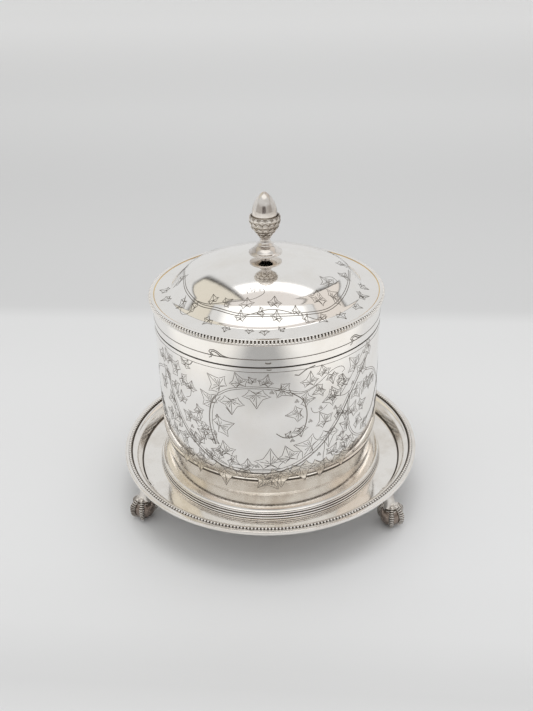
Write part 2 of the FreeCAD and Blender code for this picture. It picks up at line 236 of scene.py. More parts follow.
def dish_path():
    """The dish's upper side: flat well, ogee and flat rim with its lip."""
    path = [(STUD_HOLE, WELL_HEIGHT), (WELL_RADIUS, WELL_HEIGHT)]
    path += curve(path[-1], 3.5, 0.0, -62.0, 6)
    head_top = RIM_HEIGHT - RIM_STEP
    head = curve((0.0, 0.0), 7.0, -62.0, -8.0, 9)
    start = (RIM_INNER - head[-1][0], head_top - head[-1][1])
    path += [start] + [(start[0] + r, start[1] + z) for r, z in head]
    rim = [path[-1], (RIM_INNER + 0.1, head_top - 0.5), (RIM_INNER + RIM_STEP / 2, RIM_HEIGHT)]
    rim += [(RIM_INNER + 2.7, RIM_HEIGHT), (STAND_RADIUS, RIM_HEIGHT)]
    rim += [(STAND_RADIUS, RIM_HEIGHT - LIP_DROP)]
    return path[:-1] + eased(rim, 0.6)


upper = dish_path()


def dish_height_at(radius):
    """Height of the dish's upper side at a radius."""
    for (r1, z1), (r2, z2) in zip(upper, upper[1:]):
        if r1 <= radius <= r2:
            return z1 + (z2 - z1) * (radius - r1) / (r2 - r1)
    return WELL_HEIGHT


under = offset(upper, DISH_SHEET)
bm = spun(upper + under[::-1], 300)
# The three bands get the near-black material: painted shade at the ogee's foot, tarnish and painted
# shade at the rim step and between the beads.
for face in bm.faces:
    radius, height = place_of(face)
    face.material_index = int(
        OGEE_PAINTED_SHADE[0] < radius < OGEE_PAINTED_SHADE[1]
        or STEP_TARNISH_AND_SHADE[0] < radius < STEP_TARNISH_AND_SHADE[1]
        or (BEAD_TARNISH_AND_SHADE[0] < radius < BEAD_TARNISH_AND_SHADE[1] and height > RIM_HEIGHT - 0.2)
    )
dish = piece("stand_dish_plate", bm, [dish_plate, near_black])
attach(dish, "jar_on_stand")
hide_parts("stand_dish")

# ----------------------------------------
# Beaded edge of the stand: 288 round beads rolled in one strip of silver wire and soldered along
# the rim, with tarnish and painted shade between them, painted on the dish under them.
# ----------------------------------------
STAND_BEADS = 288
STAND_BEAD_LINE = 116.1
STAND_BEAD_SIZE = (1.2, 0.86, 1.15)


def bead_row(count, radius, height, size, top):
    """A ring of beads. Size is half the width out, along and up; top keeps the upper half."""
    bm = bmesh.new()
    bmesh.ops.create_uvsphere(bm, u_segments=8, v_segments=6, radius=MM)
    bmesh.ops.scale(bm, vec=size, verts=bm.verts)
    if top:
        buried = [v for v in bm.verts if v.co.z < -0.1 * MM]
        bmesh.ops.delete(bm, geom=buried, context="VERTS")
    bmesh.ops.translate(bm, vec=(radius * MM, 0, height * MM), verts=bm.verts)
    bmesh.ops.spin(
        bm, geom=bm.verts[:] + bm.edges[:] + bm.faces[:], cent=(0, 0, 0), axis=(0, 0, 1),
        angle=2 * math.pi * (count - 1) / count, steps=count - 1, use_duplicate=True,
    )
    return bm


bm = bead_row(STAND_BEADS, STAND_BEAD_LINE, RIM_HEIGHT, STAND_BEAD_SIZE, True)
border = piece("stand_beads", bm, [plate], 80)
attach(border, "jar_on_stand")
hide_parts("stand_bead_border")

# ----------------------------------------
# Feet: three castings, each a smooth ball held by four ribbed toes with nails, under
# a round ankle that spreads towards the dish and stops inside its sheet.
# ----------------------------------------
FOOT_ANGLES = {"foot_front_left": -150.0, "foot_front_right": -30.0, "foot_back": 90.0}
FOOT_CIRCLE = 113.4
BALL_RADIUS = 8.5
BALL_HEIGHT = 8.15
TOES = (-60.0, 0.0, 60.0, 180.0)
# Level by level down a toe: latitude on the ball, half width, thickness
TOE_SHAPE = (
    (96, 2.6, 2.0), (70, 2.9, 2.3), (48, 2.8, 1.8), (24, 3.3, 2.4), (2, 2.8, 2.0), (-18, 2.9, 2.1),
    (-34, 2.2, 1.6), (-48, 1.0, 0.8), (-56, 0.3, 0.3),
)
TOE_RIBS = 17
GROOVE_WIDTH_SHARE = 0.93
GROOVE_DEPTH = 0.38
# Share of each rib's spacing painted dark in the grooves: tarnish and painted shade.
GROOVE_SHADE_AND_TARNISH = 0.4
GROOVES_FROM, GROOVES_TO = -30, 62
# Up the ankle: place outwards, height, half width
ANKLE = (
    (0.0, BALL_HEIGHT + 0.7 * BALL_RADIUS, 5.6), (-0.4, BALL_HEIGHT + 1.0 * BALL_RADIUS, 5.2),
    (-1.2, BALL_HEIGHT + 1.35 * BALL_RADIUS, 4.4), (-2.4, 23.5, 4.2), (-4.0, 27.2, 4.9),
    (-5.2, 31.0, 6.0),
)
cast = silver("cast silver", (0.86, 0.82, 0.77), (0.20, 0.16, 0.13), 1.0, 0.05, 0.16, 0.25)
ball_silver = silver("worn ball", (0.36, 0.30, 0.26), (0.10, 0.07, 0.06), 0.9, 0.16, 0.4, 0.3)


def turn_about(bm, degrees, verts, axis="Z"):
    """Turns verts about an axis through the origin."""
    matrix = Matrix.Rotation(math.radians(degrees), 3, axis)
    bmesh.ops.rotate(bm, cent=(0, 0, 0), matrix=matrix, verts=verts)


def limb(bm, stations, sides=12):
    """A closed limb through rings, each given by centre, direction, width and depth."""
    rings = []
    for centre, direction, width, depth in stations:
        ring = bmesh.ops.create_circle(bm, segments=sides, radius=MM)["verts"]
        turn = Vector(direction).to_track_quat("Z", "Y").to_matrix().to_4x4()
        bmesh.ops.scale(bm, vec=(width, depth, 1), verts=ring)
        bmesh.ops.transform(bm, matrix=Matrix.Translation(Vector(centre) * MM) @ turn, verts=ring)
        rings.append(ring)
    edges = [
        [e for e in bm.edges if e.verts[0] in ring and e.verts[1] in ring]
        for ring in map(set, rings)
    ]
    for low, high in zip(edges, edges[1:]):
        bmesh.ops.bridge_loops(bm, edges=low + high)
    for ring in (rings[0], rings[-1]):
        bmesh.ops.contextual_create(bm, geom=ring)


def toe(bm, azimuth):
    """One toe: knuckles over the ball crossed by fine ribs, and a nail."""
    stations = []
    for rib in range(2 * TOE_RIBS + 1):
        latitude = TOE_SHAPE[0][0] + (TOE_SHAPE[-1][0] - TOE_SHAPE[0][0]) * rib / (2 * TOE_RIBS)
        for (top, wide_top, thick_top), (low, wide_low, thick_low) in zip(TOE_SHAPE, TOE_SHAPE[1:]):
            if low <= latitude <= top:
                share = (top - latitude) / (top - low)
                half_width = wide_top + (wide_low - wide_top) * share
                thickness = thick_top + (thick_low - thick_top) * share
        if rib % 2 and latitude > TOE_SHAPE[-3][0]:
            half_width, thickness = GROOVE_WIDTH_SHARE * half_width, thickness - GROOVE_DEPTH
        angle = math.radians(latitude)
        reach = BALL_RADIUS - 0.1 + 0.15 * thickness
        centre = (reach * math.cos(angle), 0, reach * math.sin(angle) + BALL_HEIGHT)
        stations.append((centre, (math.sin(angle), 0, -math.cos(angle)), thickness, half_width))
    part = bmesh.new()
    limb(part, stations)
    turn_about(part, azimuth, part.verts)
    scratch = bpy.data.meshes.new("toe")
    part.to_mesh(scratch)
    part.free()
    bm.from_mesh(scratch)
    bpy.data.meshes.remove(scratch)


for node, direction in FOOT_ANGLES.items():
    bm = bmesh.new()
    for azimuth in TOES:
        toe(bm, azimuth)
    limb(bm, [((out, 0, height), (0, 0, 1), half, half) for out, height, half in ANKLE], 16)
    bmesh.ops.recalc_face_normals(bm, faces=bm.faces)
    bmesh.ops.subdivide_edges(bm, edges=bm.edges, cuts=1, smooth=1.0, use_grid_fill=True)
    # Grooves between the ribs and the toes where they lie on the ball are painted near-black:
    # tarnish and painted shade.
    middle = Vector((0, 0, BALL_HEIGHT * MM))
    for face in bm.faces:
        away = (face.calc_center_median() - middle) / MM
        latitude = math.degrees(math.atan2(away.z, math.hypot(away.x, away.y)))
        rib = (TOE_SHAPE[0][0] - latitude) * 2 * TOE_RIBS / (TOE_SHAPE[0][0] - TOE_SHAPE[-1][0])
        in_groove = abs(rib % 2 - 1) < GROOVE_SHADE_AND_TARNISH and GROOVES_FROM < latitude < GROOVES_TO
        if away.length < BALL_RADIUS + 0.1 or in_groove:
            face.material_index = 2
    ball = bmesh.ops.create_icosphere(bm, subdivisions=4, radius=BALL_RADIUS * MM)["verts"]
    bmesh.ops.translate(bm, vec=(0, 0, BALL_HEIGHT * MM), verts=ball)
    for face in {f for v in ball for f in v.link_faces}:
        face.material_index = 1
    bmesh.ops.translate(bm, vec=(FOOT_CIRCLE * MM, 0, 0), verts=bm.verts)
    turn_about(bm, direction, bm.verts)
    for vert in bm.verts:
        under_dish = dish_height_at(math.hypot(vert.co.x, vert.co.y) / MM) - DISH_SHEET / 2
        vert.co.z = min(max(vert.co.z, 0.0), under_dish * MM)
    foot = piece(node + "_claw_and_ball", bm, [cast, ball_silver, near_black], 60)
    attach(foot, "jar_on_stand")
    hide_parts(node)

# ----------------------------------------
# Spreading foot of the drum: a spun ring of plated sheet, hollow in a cove under
# the drum, with three reeds at its base that stand on the dish.
# ----------------------------------------
BASE_RADIUS = 91.3
REED_HEIGHT = 1.75
REED_COUNT = 3
REED_HALF = 0.56
REED_ROUND = 0.7
REED_DEPTH = 1.2
REED_STEP = 0.6
COVE_RADIUS = 89.6
NECK_RADIUS = 84.6
NECK_HEIGHT = 58.5
NECK_FLANGE = 4.0
MOULDING_SHEET = 1.4
REEDS_TOP = WELL_HEIGHT + REED_COUNT * REED_HEIGHT


def cove_radius_at(z):
    """Outside radius of the cove at height z, a quarter of an ellipse."""
    share = min(1.0, (NECK_HEIGHT - z) / (NECK_HEIGHT - REEDS_TOP))
    return NECK_RADIUS + (COVE_RADIUS - NECK_RADIUS) * (1 - math.sqrt(1 - share**2))


outline = [(NECK_RADIUS - NECK_FLANGE, NECK_HEIGHT), (NECK_RADIUS, NECK_HEIGHT)]
for step in range(1, 17):
    height = NECK_HEIGHT + (REEDS_TOP - NECK_HEIGHT) * math.sin(math.pi * step / 32)
    outline.append((cove_radius_at(height), height))
for reed in range(REED_COUNT):
    top = REEDS_TOP - reed * REED_HEIGHT
    out = BASE_RADIUS - REED_STEP * (REED_COUNT - 1 - reed)
    outline.append((out - REED_DEPTH, top - 0.04))
    for step in range(9):
        angle = math.radians(90 - 180 * step / 8)
        radius = out - REED_ROUND * (1 - math.cos(angle))
        outline.append((radius, top - REED_HEIGHT / 2 + REED_HALF * math.sin(angle)))
outline += [
    (BASE_RADIUS - REED_DEPTH, WELL_HEIGHT + 0.1),
    (COVE_RADIUS - MOULDING_SHEET, WELL_HEIGHT),
    (COVE_RADIUS - MOULDING_SHEET, REEDS_TOP),
    (NECK_RADIUS - MOULDING_SHEET, NECK_HEIGHT - MOULDING_SHEET),
    (NECK_RADIUS - NECK_FLANGE, NECK_HEIGHT - MOULDING_SHEET),
]
bm = spun(outline, 300)
# Below the cove, the valleys between the reeds and the flat steps, with the line where the reeds
# meet the dish, get the near-black material: tarnish and painted shade, a painted contact shadow at
# the foot. The cove gets the aged plate.
for face in bm.faces:
    radius, height = place_of(face)
    if height > REEDS_TOP:
        face.material_index = 2 * int(NECK_RADIUS - 1 < radius < COVE_RADIUS)
    else:
        from_crest = abs((REEDS_TOP - height) % REED_HEIGHT - REED_HEIGHT / 2)
        face.material_index = int(abs(face.normal.z) > 0.9 or from_crest > REED_HALF)
moulding = piece("drum_foot_moulding", bm, [plate, near_black, aged], 50)
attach(moulding, "jar_on_stand")
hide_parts("jar_foot_moulding")

# ----------------------------------------
# Drum wall: a seamed cylinder of plated sheet that draws in at its foot, where it
# stands on the moulding. Its top edge is turned true for the lid.
# ----------------------------------------
BODY_RADIUS = 86.0
WALL_SHEET = 1.4
SEAM_HEIGHT = 156.0
SEAM_GAP = 0.6
TUCK_HEIGHT = 9.5
TUCK_TOP = NECK_HEIGHT + TUCK_HEIGHT
WALL_TOP = SEAM_HEIGHT - SEAM_GAP / 2
WALL_INNER = BODY_RADIUS - WALL_SHEET


def wall_radius_at(z):
    """Outside radius of the drum at height z, on over the tuck and the cove."""
    if z >= TUCK_TOP:
        return BODY_RADIUS
    if z < NECK_HEIGHT:
        return cove_radius_at(z)
    drop = (TUCK_TOP - z) / TUCK_HEIGHT
    return BODY_RADIUS - (BODY_RADIUS - NECK_RADIUS) * drop**2


outline = [(WALL_INNER, WALL_TOP), (WALL_INNER, TUCK_TOP), (NECK_RADIUS - WALL_SHEET, NECK_HEIGHT)]
for step in range(9):
    height = NECK_HEIGHT + TUCK_HEIGHT * step / 8
    outline.append((wall_radius_at(height), height))
outline += [(BODY_RADIUS, WALL_TOP - 0.3), (BODY_RADIUS - 0.3, WALL_TOP)]
bm = spun(outline, 300)
# The bevel at the top edge and the foot of the tuck get the near-black material: painted shade in
# the seam and a painted shadow in the tuck under the drum, with tarnish.
for face in bm.faces:
    height = place_of(face)[1]
    face.material_index = int(height > WALL_TOP - 0.29 or height < NECK_HEIGHT + TUCK_HEIGHT / 4)
wall = piece("drum_wall", bm, [plate, near_black], 30)
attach(wall, "jar_on_stand")
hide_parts("jar_wall")

# ----------------------------------------
# Drum floor and collar: a flat disc soldered in above the moulding, and a thin
# ring inside the top of the wall that the lid closes over.
# ----------------------------------------
FLOOR_SHEET = 1.4
COLLAR_SHEET = 1.0
COLLAR_BELOW = 7.0
COLLAR_ABOVE = 5.0
lining = silver("inside of the drum", (0.84, 0.81, 0.76), (0.62, 0.56, 0.48), 0.7, 0.16, 0.34, 0.1)
inner, low, high = NECK_RADIUS - WALL_SHEET, NECK_HEIGHT, NECK_HEIGHT + FLOOR_SHEET
bm = spun([(STUD_RADIUS, low), (inner, low), (inner, high), (STUD_RADIUS, high)], 120)
drum_floor = piece("drum_floor", bm, [lining])
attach(drum_floor, "jar_on_stand")
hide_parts("jar_floor")

inner, low, high = WALL_INNER - COLLAR_SHEET, SEAM_HEIGHT - COLLAR_BELOW, SEAM_HEIGHT + COLLAR_ABOVE
bm = spun(eased([(WALL_INNER, low), (WALL_INNER, high), (inner, high), (inner, low)], 0.3), 240)
# The outer face, seen through the seam, gets the near-black material: painted shade in the gap.
for face in bm.faces:
    outwards = face.calc_center_median().xy.normalized()
    face.material_index = int(outwards.dot(face.normal.xy) > 0.9)
collar = piece("drum_collar", bm, [lining, near_black], 30)
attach(collar, "jar_on_stand")
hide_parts("jar_collar")

# ----------------------------------------
# Stud, washer and nut that hold the drum down on the dish: turned brass with a
# nickel finish. They are kept as they are and only get their metal.
# ----------------------------------------
nickel = silver("nickelled brass", (0.74, 0.70, 0.60), (0.48, 0.40, 0.28), 0.8, 0.22, 0.42, 0.2)
for node in ("stand_stud", "stand_washer", "stand_nut"):
    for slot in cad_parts[node].material_slots:
        slot.material = nickel

# ----------------------------------------
# Lid skirt: a short cylinder that fits over the collar, with a plain half-round
# moulding near its top that carries the beads.
# ----------------------------------------
SKIRT_INNER = WALL_INNER + 0.4
SKIRT_BOTTOM = SEAM_HEIGHT + SEAM_GAP / 2
LID_EDGE = 177.9
BORDER_HEIGHT = 4.9
BORDER_RADIUS = 88.8
LID_BEAD_HEIGHT = 2.4
MOULDING_OUT = 2.0
moulding_low, moulding_high = LID_EDGE - BORDER_HEIGHT, LID_EDGE - LID_BEAD_HEIGHT
outline = [
    (SKIRT_INNER, SKIRT_BOTTOM), (BODY_RADIUS - 0.3, SKIRT_BOTTOM),
    (BODY_RADIUS, SKIRT_BOTTOM + 0.3), (BODY_RADIUS, moulding_low),
]
middle, half = (moulding_low + moulding_high) / 2, (moulding_high - moulding_low) / 2
for step in range(9):
    angle = math.radians(-90 + 180 * step / 8)
    radius = BODY_RADIUS + 0.3 + MOULDING_OUT * math.cos(angle)
    outline.append((radius, middle + half * math.sin(angle)))
outline += [
    (BODY_RADIUS + 0.9, moulding_high), (BODY_RADIUS + 0.9, LID_EDGE - 0.6),
    (BODY_RADIUS + 1.2, LID_EDGE - 0.4), (BODY_RADIUS + 1.3, LID_EDGE - 0.2),
    (BODY_RADIUS + 1.1, LID_EDGE), (SKIRT_INNER, LID_EDGE),
]
bm = spun(outline, 300)
# The lower edge at the seam and the face behind the beads get the near-black material: painted
# shade in the seam and between the beads, with tarnish; the half-round moulding gets the aged
# plate.
for face in bm.faces:
    radius, height = place_of(face)
    between_beads = radius > BODY_RADIUS + 0.6 and moulding_high - 0.02 < height < LID_EDGE - 0.5
    if between_beads or height < SKIRT_BOTTOM + 0.29:
        face.material_index = 1
    elif radius > BODY_RADIUS + 0.1 and height < moulding_high:
        face.material_index = 2
skirt = piece("lid_skirt_plate", bm, [plate, near_black, aged], 30)
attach(skirt, "lid")
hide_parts("lid_skirt")

# ----------------------------------------
# Beaded edge of the lid: 216 short upright beads of one rolled strip, soldered
# round the upper corner of the skirt.
# ----------------------------------------
LID_BEADS = 216
LID_BEAD_LINE = BORDER_RADIUS - 1.1
LID_BEAD_SIZE = (1.15, 0.92, 1.3)
height = LID_EDGE - LID_BEAD_HEIGHT / 2 - 0.2
bm = bead_row(LID_BEADS, LID_BEAD_LINE, height, LID_BEAD_SIZE, False)
border = piece("lid_beads", bm, [plate], 80)
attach(border, "lid")
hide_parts("lid_bead_border")

# ----------------------------------------
# Dome of the lid: one sheet raised to a shallow cap with a round shoulder and a
# hollow flare, let in flush inside the skirt with a line of old gilding at its edge.
# ----------------------------------------
DOME_APEX = 201.6
DOME_SHEET = 1.2
DOME_EDGE = LID_EDGE - 0.5
DOME_STEEP = 44.0
DOME_FLAT = 9.2
HOLLOW_TOP = (71.3, 180.7)
dome_plate = silver("polished dome", POLISH_WHITE, POLISH_DULL, 0.4, 0.04, 0.13, 0.04)
gilded = silver("gilt line", (0.86, 0.66, 0.36), (0.55, 0.38, 0.18), 0.6, 0.15, 0.35, 0.2)


def dome_path(fine):
    """The dome's upper side, with finer flats for a larger number."""
    path = [(STUD_HOLE, DOME_APEX), (7.5, DOME_APEX)]
    path += curve(path[-1], 137.0, 0.0, 21.2, 4 * fine)
    path += curve(path[-1], 20.0, 21.2, DOME_STEEP, 3 * fine) + [HOLLOW_TOP]
    path += curve(path[-1], 6.0, DOME_STEEP, DOME_FLAT, 3 * fine)
    path += [(SKIRT_INNER - 0.75, DOME_EDGE + 0.04), (SKIRT_INNER - 0.65, DOME_EDGE - 0.2)]
    return path + [(SKIRT_INNER, DOME_EDGE)]


dome_line = dome_path(4)


def dome_height_at(radius):
    """Height of the dome's upper side at a radius."""
    for (r1, z1), (r2, z2) in zip(dome_line, dome_line[1:]):
        if r1 <= radius <= r2:
            return z1 + (z2 - z1) * (radius - r1) / (r2 - r1)
    return DOME_APEX if radius < STUD_HOLE else DOME_EDGE


under = offset(dome_line[:-3], DOME_SHEET) + [(SKIRT_INNER, DOME_EDGE - DOME_SHEET)]
bm = spun(dome_line + under[::-1], 300)
for face in bm.faces:
    radius, height = place_of(face)
    face.material_index = int(radius > SKIRT_INNER - 0.74 and height > DOME_EDGE - 0.3)
dome = piece("lid_dome_plate", bm, [dome_plate, gilded], 50)
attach(dome, "lid")
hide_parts("lid_dome")

# ----------------------------------------
# Finial stem: a turned baluster of cast silver on the middle of the dome, with a
# broad disc, a bulge, a small ring and a narrow neck.
# ----------------------------------------
finial_silver = silver("turned finial", (0.86, 0.82, 0.78), (0.3, 0.25, 0.21), 0.85, 0.06, 0.2, 0.1)
STEM_TOP = 217.7
CUP_TOP = 234.3
outline = [
    (STUD_RADIUS, DOME_APEX), (4.6, DOME_APEX), (4.7, 202.0), (4.6, 203.2), (5.2, 203.5),
    (8.5, 204.2), (11.6, 204.9), (12.35, 205.3), (12.5, 205.9), (12.3, 206.4),
    (11.6, 206.7), (10.6, 206.8),
    (10.3, 207.1), (9.9, 207.6), (9.2, 208.6), (8.2, 209.6), (7.2, 210.4), (6.4, 210.8),
    (5.8, 211.1), (6.2, 211.35), (6.35, 211.8), (6.2, 212.2), (5.5, 212.6), (4.6, 213.3),
    (4.0, 214.2), (3.7, 215.2), (3.7, 216.2), (3.9, 216.8), (4.3, 217.1), (4.3, 217.5),
    (3.7, STEM_TOP), (STUD_RADIUS, STEM_TOP),
]
bm = spun(outline, 64)
baluster = piece("finial_baluster", bm, [finial_silver], 55)
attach(baluster, "lid")
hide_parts("finial_stem")

# ----------------------------------------
# Finial cup: the scaly cup of an acorn, cast in silver and chased with rows of
# small overlapping scales round a bowl that the nut sits in.
# ----------------------------------------
SCALE_ROWS = 5
SCALE_SPACING = 4.4
SCALE_THICKNESS = 0.6
SCALE_LENGTH = 2.1
BOWL_DEPTH = 5.0
cup_profile = [
    (3.7, STEM_TOP), (4.4, 218.6), (5.4, 220.4), (7.4, 222.2), (9.0, 224.2), (10.2, 226.6),
    (10.9, 229.0), (11.1, 231.2), (10.9, 233.2),
]
outline = [(STUD_RADIUS, STEM_TOP)] + cup_profile
outline += [(10.7, CUP_TOP - 0.2), (10.4, CUP_TOP), (10.2, CUP_TOP - 0.1)]
outline += [(10.2, CUP_TOP - BOWL_DEPTH), (STUD_RADIUS, CUP_TOP - BOWL_DEPTH)]
bm = spun(outline, 64)
for face in bm.faces:
    face.material_index = 1
for row in range(SCALE_ROWS):
    share = (row + 0.6) / SCALE_ROWS
    where = share * (len(cup_profile) - 1)
    index = int(where)
    (r1, z1), (r2, z2) = cup_profile[index], cup_profile[index + 1]
    r, z = r1 + (r2 - r1) * (where - index), z1 + (z2 - z1) * (where - index)
    lean = math.atan2(r2 - r1, z2 - z1)
    count = max(9, int(2 * math.pi * r / SCALE_SPACING))
    width = 0.47 * 2 * math.pi * r / count
    for k in range(count):
        scale = bmesh.ops.create_uvsphere(bm, u_segments=8, v_segments=6, radius=MM)["verts"]
        for vert in scale:
            x, y, z_up = vert.co / MM
            half_width = width * (1 - 0.5 * z_up)
            vert.co = Vector((x * SCALE_THICKNESS, y * half_width, z_up * SCALE_LENGTH)) * MM
        turn_about(bm, math.degrees(lean + 0.2), scale, "Y")
        bmesh.ops.translate(bm, vec=((r - 0.12) * MM, 0, z * MM), verts=scale)
        turn_about(bm, 360 * (k + 0.5 * (row % 2)) / count, scale)
cup_silver = silver("chased cup", (0.84, 0.80, 0.75), (0.34, 0.29, 0.24), 0.9, 0.12, 0.32, 0.4)
cup_ground = silver("cup ground", (0.46, 0.42, 0.37), (0.22, 0.18, 0.15), 0.9, 0.2, 0.4, 0.4)
cup = piece("finial_scaly_cup", bm, [cup_silver, cup_ground], 70)
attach(cup, "lid")
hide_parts("finial_cup")

# ----------------------------------------
# Finial acorn: a smooth pointed nut of cast silver that screws down on the stud
# and closes the cup.
# ----------------------------------------
ACORN_RADIUS = 9.3
# Radius and height over the cup's top
ACORN_SIDE = (
    (9.3, 0.0), (9.25, 2.2), (8.9, 4.7), (8.2, 7.2), (7.2, 9.7), (5.9, 12.0), (4.5, 14.0),
    (3.0, 15.6), (1.5, 16.7), (0.6, 17.1),
)
outline = [(0.0, CUP_TOP - BOWL_DEPTH), (ACORN_RADIUS, CUP_TOP - BOWL_DEPTH)]
for (r1, z1), (r2, z2) in zip(ACORN_SIDE, ACORN_SIDE[1:]):
    outline += [(r1, CUP_TOP + z1), ((r1 + r2) / 2 + 0.02, CUP_TOP + (z1 + z2) / 2 + 0.02)]
outline += [(0.6, CUP_TOP + 17.1), (0.0, CUP_TOP + 17.18)]
bm = spun(outline, 64)
acorn = piece("finial_acorn_nut", bm, [finial_silver], 50)
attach(acorn, "lid")
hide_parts("finial_acorn")
for node in ("finial_stud", "finial_washer", "finial_nut"):
    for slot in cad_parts[node].material_slots:
        slot.material = nickel

# ----------------------------------------
# Engraving: ivy cut by hand in the finished plate, double-lined stems with pointed
# leaves, a plain oval left free at the front, and a plain line on each side of the
# seam. Tarnish stays in the cuts, which are drawn flat and then laid on the metal.
# ----------------------------------------
CUT_HALF_WIDTH = 0.2
CUT_DEPTH_SHARE = 0.35
CUT_LIFT = 0.03
BERRY_RADIUS = 0.62
DRUM_LINE_HEIGHT = 152.4
SKIRT_LINE_HEIGHT = 162.2
engraved = silver("tarnished cuts", (0.26, 0.235, 0.21), (0.08, 0.07, 0.06), 1.0, 0.35, 0.6, 0.2)
satin = silver("chased leaf", (0.90, 0.86, 0.80), (0.74, 0.68, 0.59), 0.8, 0.2, 0.36, 0.3)
# An ivy leaf of size 1: half its edge from tip to foot, its veins and its shading
LEAF_HALF = ((0.0, 0.8), (0.29, 0.28), (0.62, 0.15), (0.42, 0.0), (0.3, -0.23), (0.05, -0.08))
VEINS = (((0.0, -0.02), (0.0, 0.70)), ((0.0, 0.03), (0.46, 0.13)), ((0.0, 0.03), (-0.46, 0.13)),
         ((0.0, 0.0), (0.22, -0.15)), ((0.0, 0.0), (-0.22, -0.15)))
HATCHES = (((0.05, 0.08), (0.20, 0.26)), ((0.12, 0.09), (0.30, 0.22)), ((0.05, 0.17), (0.13, 0.40)),
           ((-0.10, -0.05), (-0.26, -0.03)), ((-0.06, 0.10), (-0.20, 0.20)))
chance = random.Random(11)


def smooth_line(points, step=1.6):
    """More points on a soft curve through the points given."""
    ends = [points[0]] + list(points) + [points[-1]]
    line = []
    for a, b, c, d in zip(ends, ends[1:], ends[2:], ends[3:]):
        a, b, c, d = Vector(a), Vector(b), Vector(c), Vector(d)
        count = max(1, int((c - b).length / step))
        for k in range(count):
            t = k / count
            line.append(0.5 * (2 * b + (c - a) * t + (2 * a - 5 * b + 4 * c - d) * t**2
                               + (3 * b - a - 3 * c + d) * t**3))
    return line + [Vector(points[-1])]


def beside(line, distance):
    """The line moved sideways."""
    moved = []
    for index, point in enumerate(line):
        ahead = line[min(index + 1, len(line) - 1)] - line[max(index - 1, 0)]
        moved.append(point + Vector((-ahead.y, ahead.x)).normalized() * distance)
    return moved


def strap(points, gaps=(-0.16, 0.16)):
    """A bold cut: lines laid close side by side."""
    line = smooth_line(points)
    return [beside(line, gap) for gap in gaps]


def stem(points, gap=0.75):
    """A stem: a cut along each of its sides."""
    return strap(points, (gap, -gap))


def ring_line(radius, height):
    """A line all round at one height."""
    return [Vector((math.pi * radius * k / 120, height)) for k in range(-120, 121)]


def leaf(x, y, turn, size):
    """Cuts of one ivy leaf with its foot at x, y, and its outline for the ground inside."""
    skew, swell = chance.uniform(-0.12, 0.12), chance.uniform(0.9, 1.12)
    half = [Vector((a * swell, b)) for a, b in LEAF_HALF]
    corners = half + [Vector((-p.x * chance.uniform(0.9, 1.1), p.y)) for p in half[:0:-1]]
    turned_by = Matrix.Rotation(math.radians(turn - 90), 2)

    def laid(p):
        return turned_by @ Vector((p[0] + skew * p[1], p[1])) * size + Vector((x, y))

    corners = [laid(p) for p in corners]
    middle = (corners[0] + corners[3] + corners[-3]) / 3
    outline = []
    for a, b in zip(corners, corners[1:] + corners[:1]):
        count = max(2, int((b - a).length / 1.6))
        for k in range(count):
            t = k / count
            point = a.lerp(b, t)
            outline.append(point + (middle - point) * 0.05 * 4 * t * (1 - t))
    cuts = [outline + outline[:1]]
    for start, end in VEINS + (HATCHES if size > 8.5 else ()):
        cuts.append([laid(start).lerp(laid(end), t) for t in (0, 0.5, 1)])
    return cuts, outline


def berries(x, y):
    """Three small rings in a cluster."""
    rings = []
    for across, up in ((0.0, 0.9), (-0.9, -0.5), (0.9, -0.5)):
        ring = []
        for k in range(7):
            angle = k * math.pi / 3
            towards = Vector((math.cos(angle), math.sin(angle)))
            ring.append(Vector((x + across, y + up)) + BERRY_RADIUS * towards)
        rings.append(ring)
    return rings


def engrave(name, cuts, grounds, on_surface, body):
    """Lays flat cuts and leaf grounds on a surface as one piece of the body."""
    data = bpy.data.curves.new(name, "CURVE")
    data.dimensions = "3D"
    data.bevel_depth = CUT_HALF_WIDTH
    data.bevel_resolution = 0
    data.use_fill_caps = True
    for cut in cuts:
        spline = data.splines.new("POLY")
        spline.points.add(len(cut) - 1)
        for point, place in zip(spline.points, cut):
            point.co = (place[0], place[1], 0, 1)
    drawn = bpy.data.objects.new(name, data)
    flat = bpy.data.meshes.new_from_object(drawn)
    bpy.data.objects.remove(drawn)
    bpy.data.curves.remove(data)
    bm = bmesh.new()
    bm.from_mesh(flat)
    bpy.data.meshes.remove(flat)
    for outline in grounds:
        corners = [bm.verts.new((p[0], p[1], 0.0)) for p in outline]
        ground = bm.faces.new(corners)
        if ground.calc_area() and ground.normal.z < 0:
            ground.normal_flip()
        parts = bmesh.ops.triangulate(bm, faces=[ground])["faces"]
        edges = list({e for f in parts for e in f.edges})
        parts = bmesh.ops.subdivide_edges(bm, edges=edges, cuts=2, use_grid_fill=True)
        for item in parts["geom"]:
            if isinstance(item, bmesh.types.BMFace):
                item.material_index = 1
    for vert in bm.verts:
        vert.co = on_surface(vert.co.x, vert.co.y, vert.co.z * CUT_DEPTH_SHARE) * MM
    obj = piece(name, bm, [engraved, satin], 60)
    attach(obj, body)


def wrapped(radius, x, y):
    """A flat point laid round the drum: x is a distance on a circle of the drum's radius."""
    return Vector((radius * math.sin(x / BODY_RADIUS), -radius * math.cos(x / BODY_RADIUS), y))


def on_drum(x, y, depth):
    return wrapped(wall_radius_at(y) + CUT_LIFT + depth, x, y)
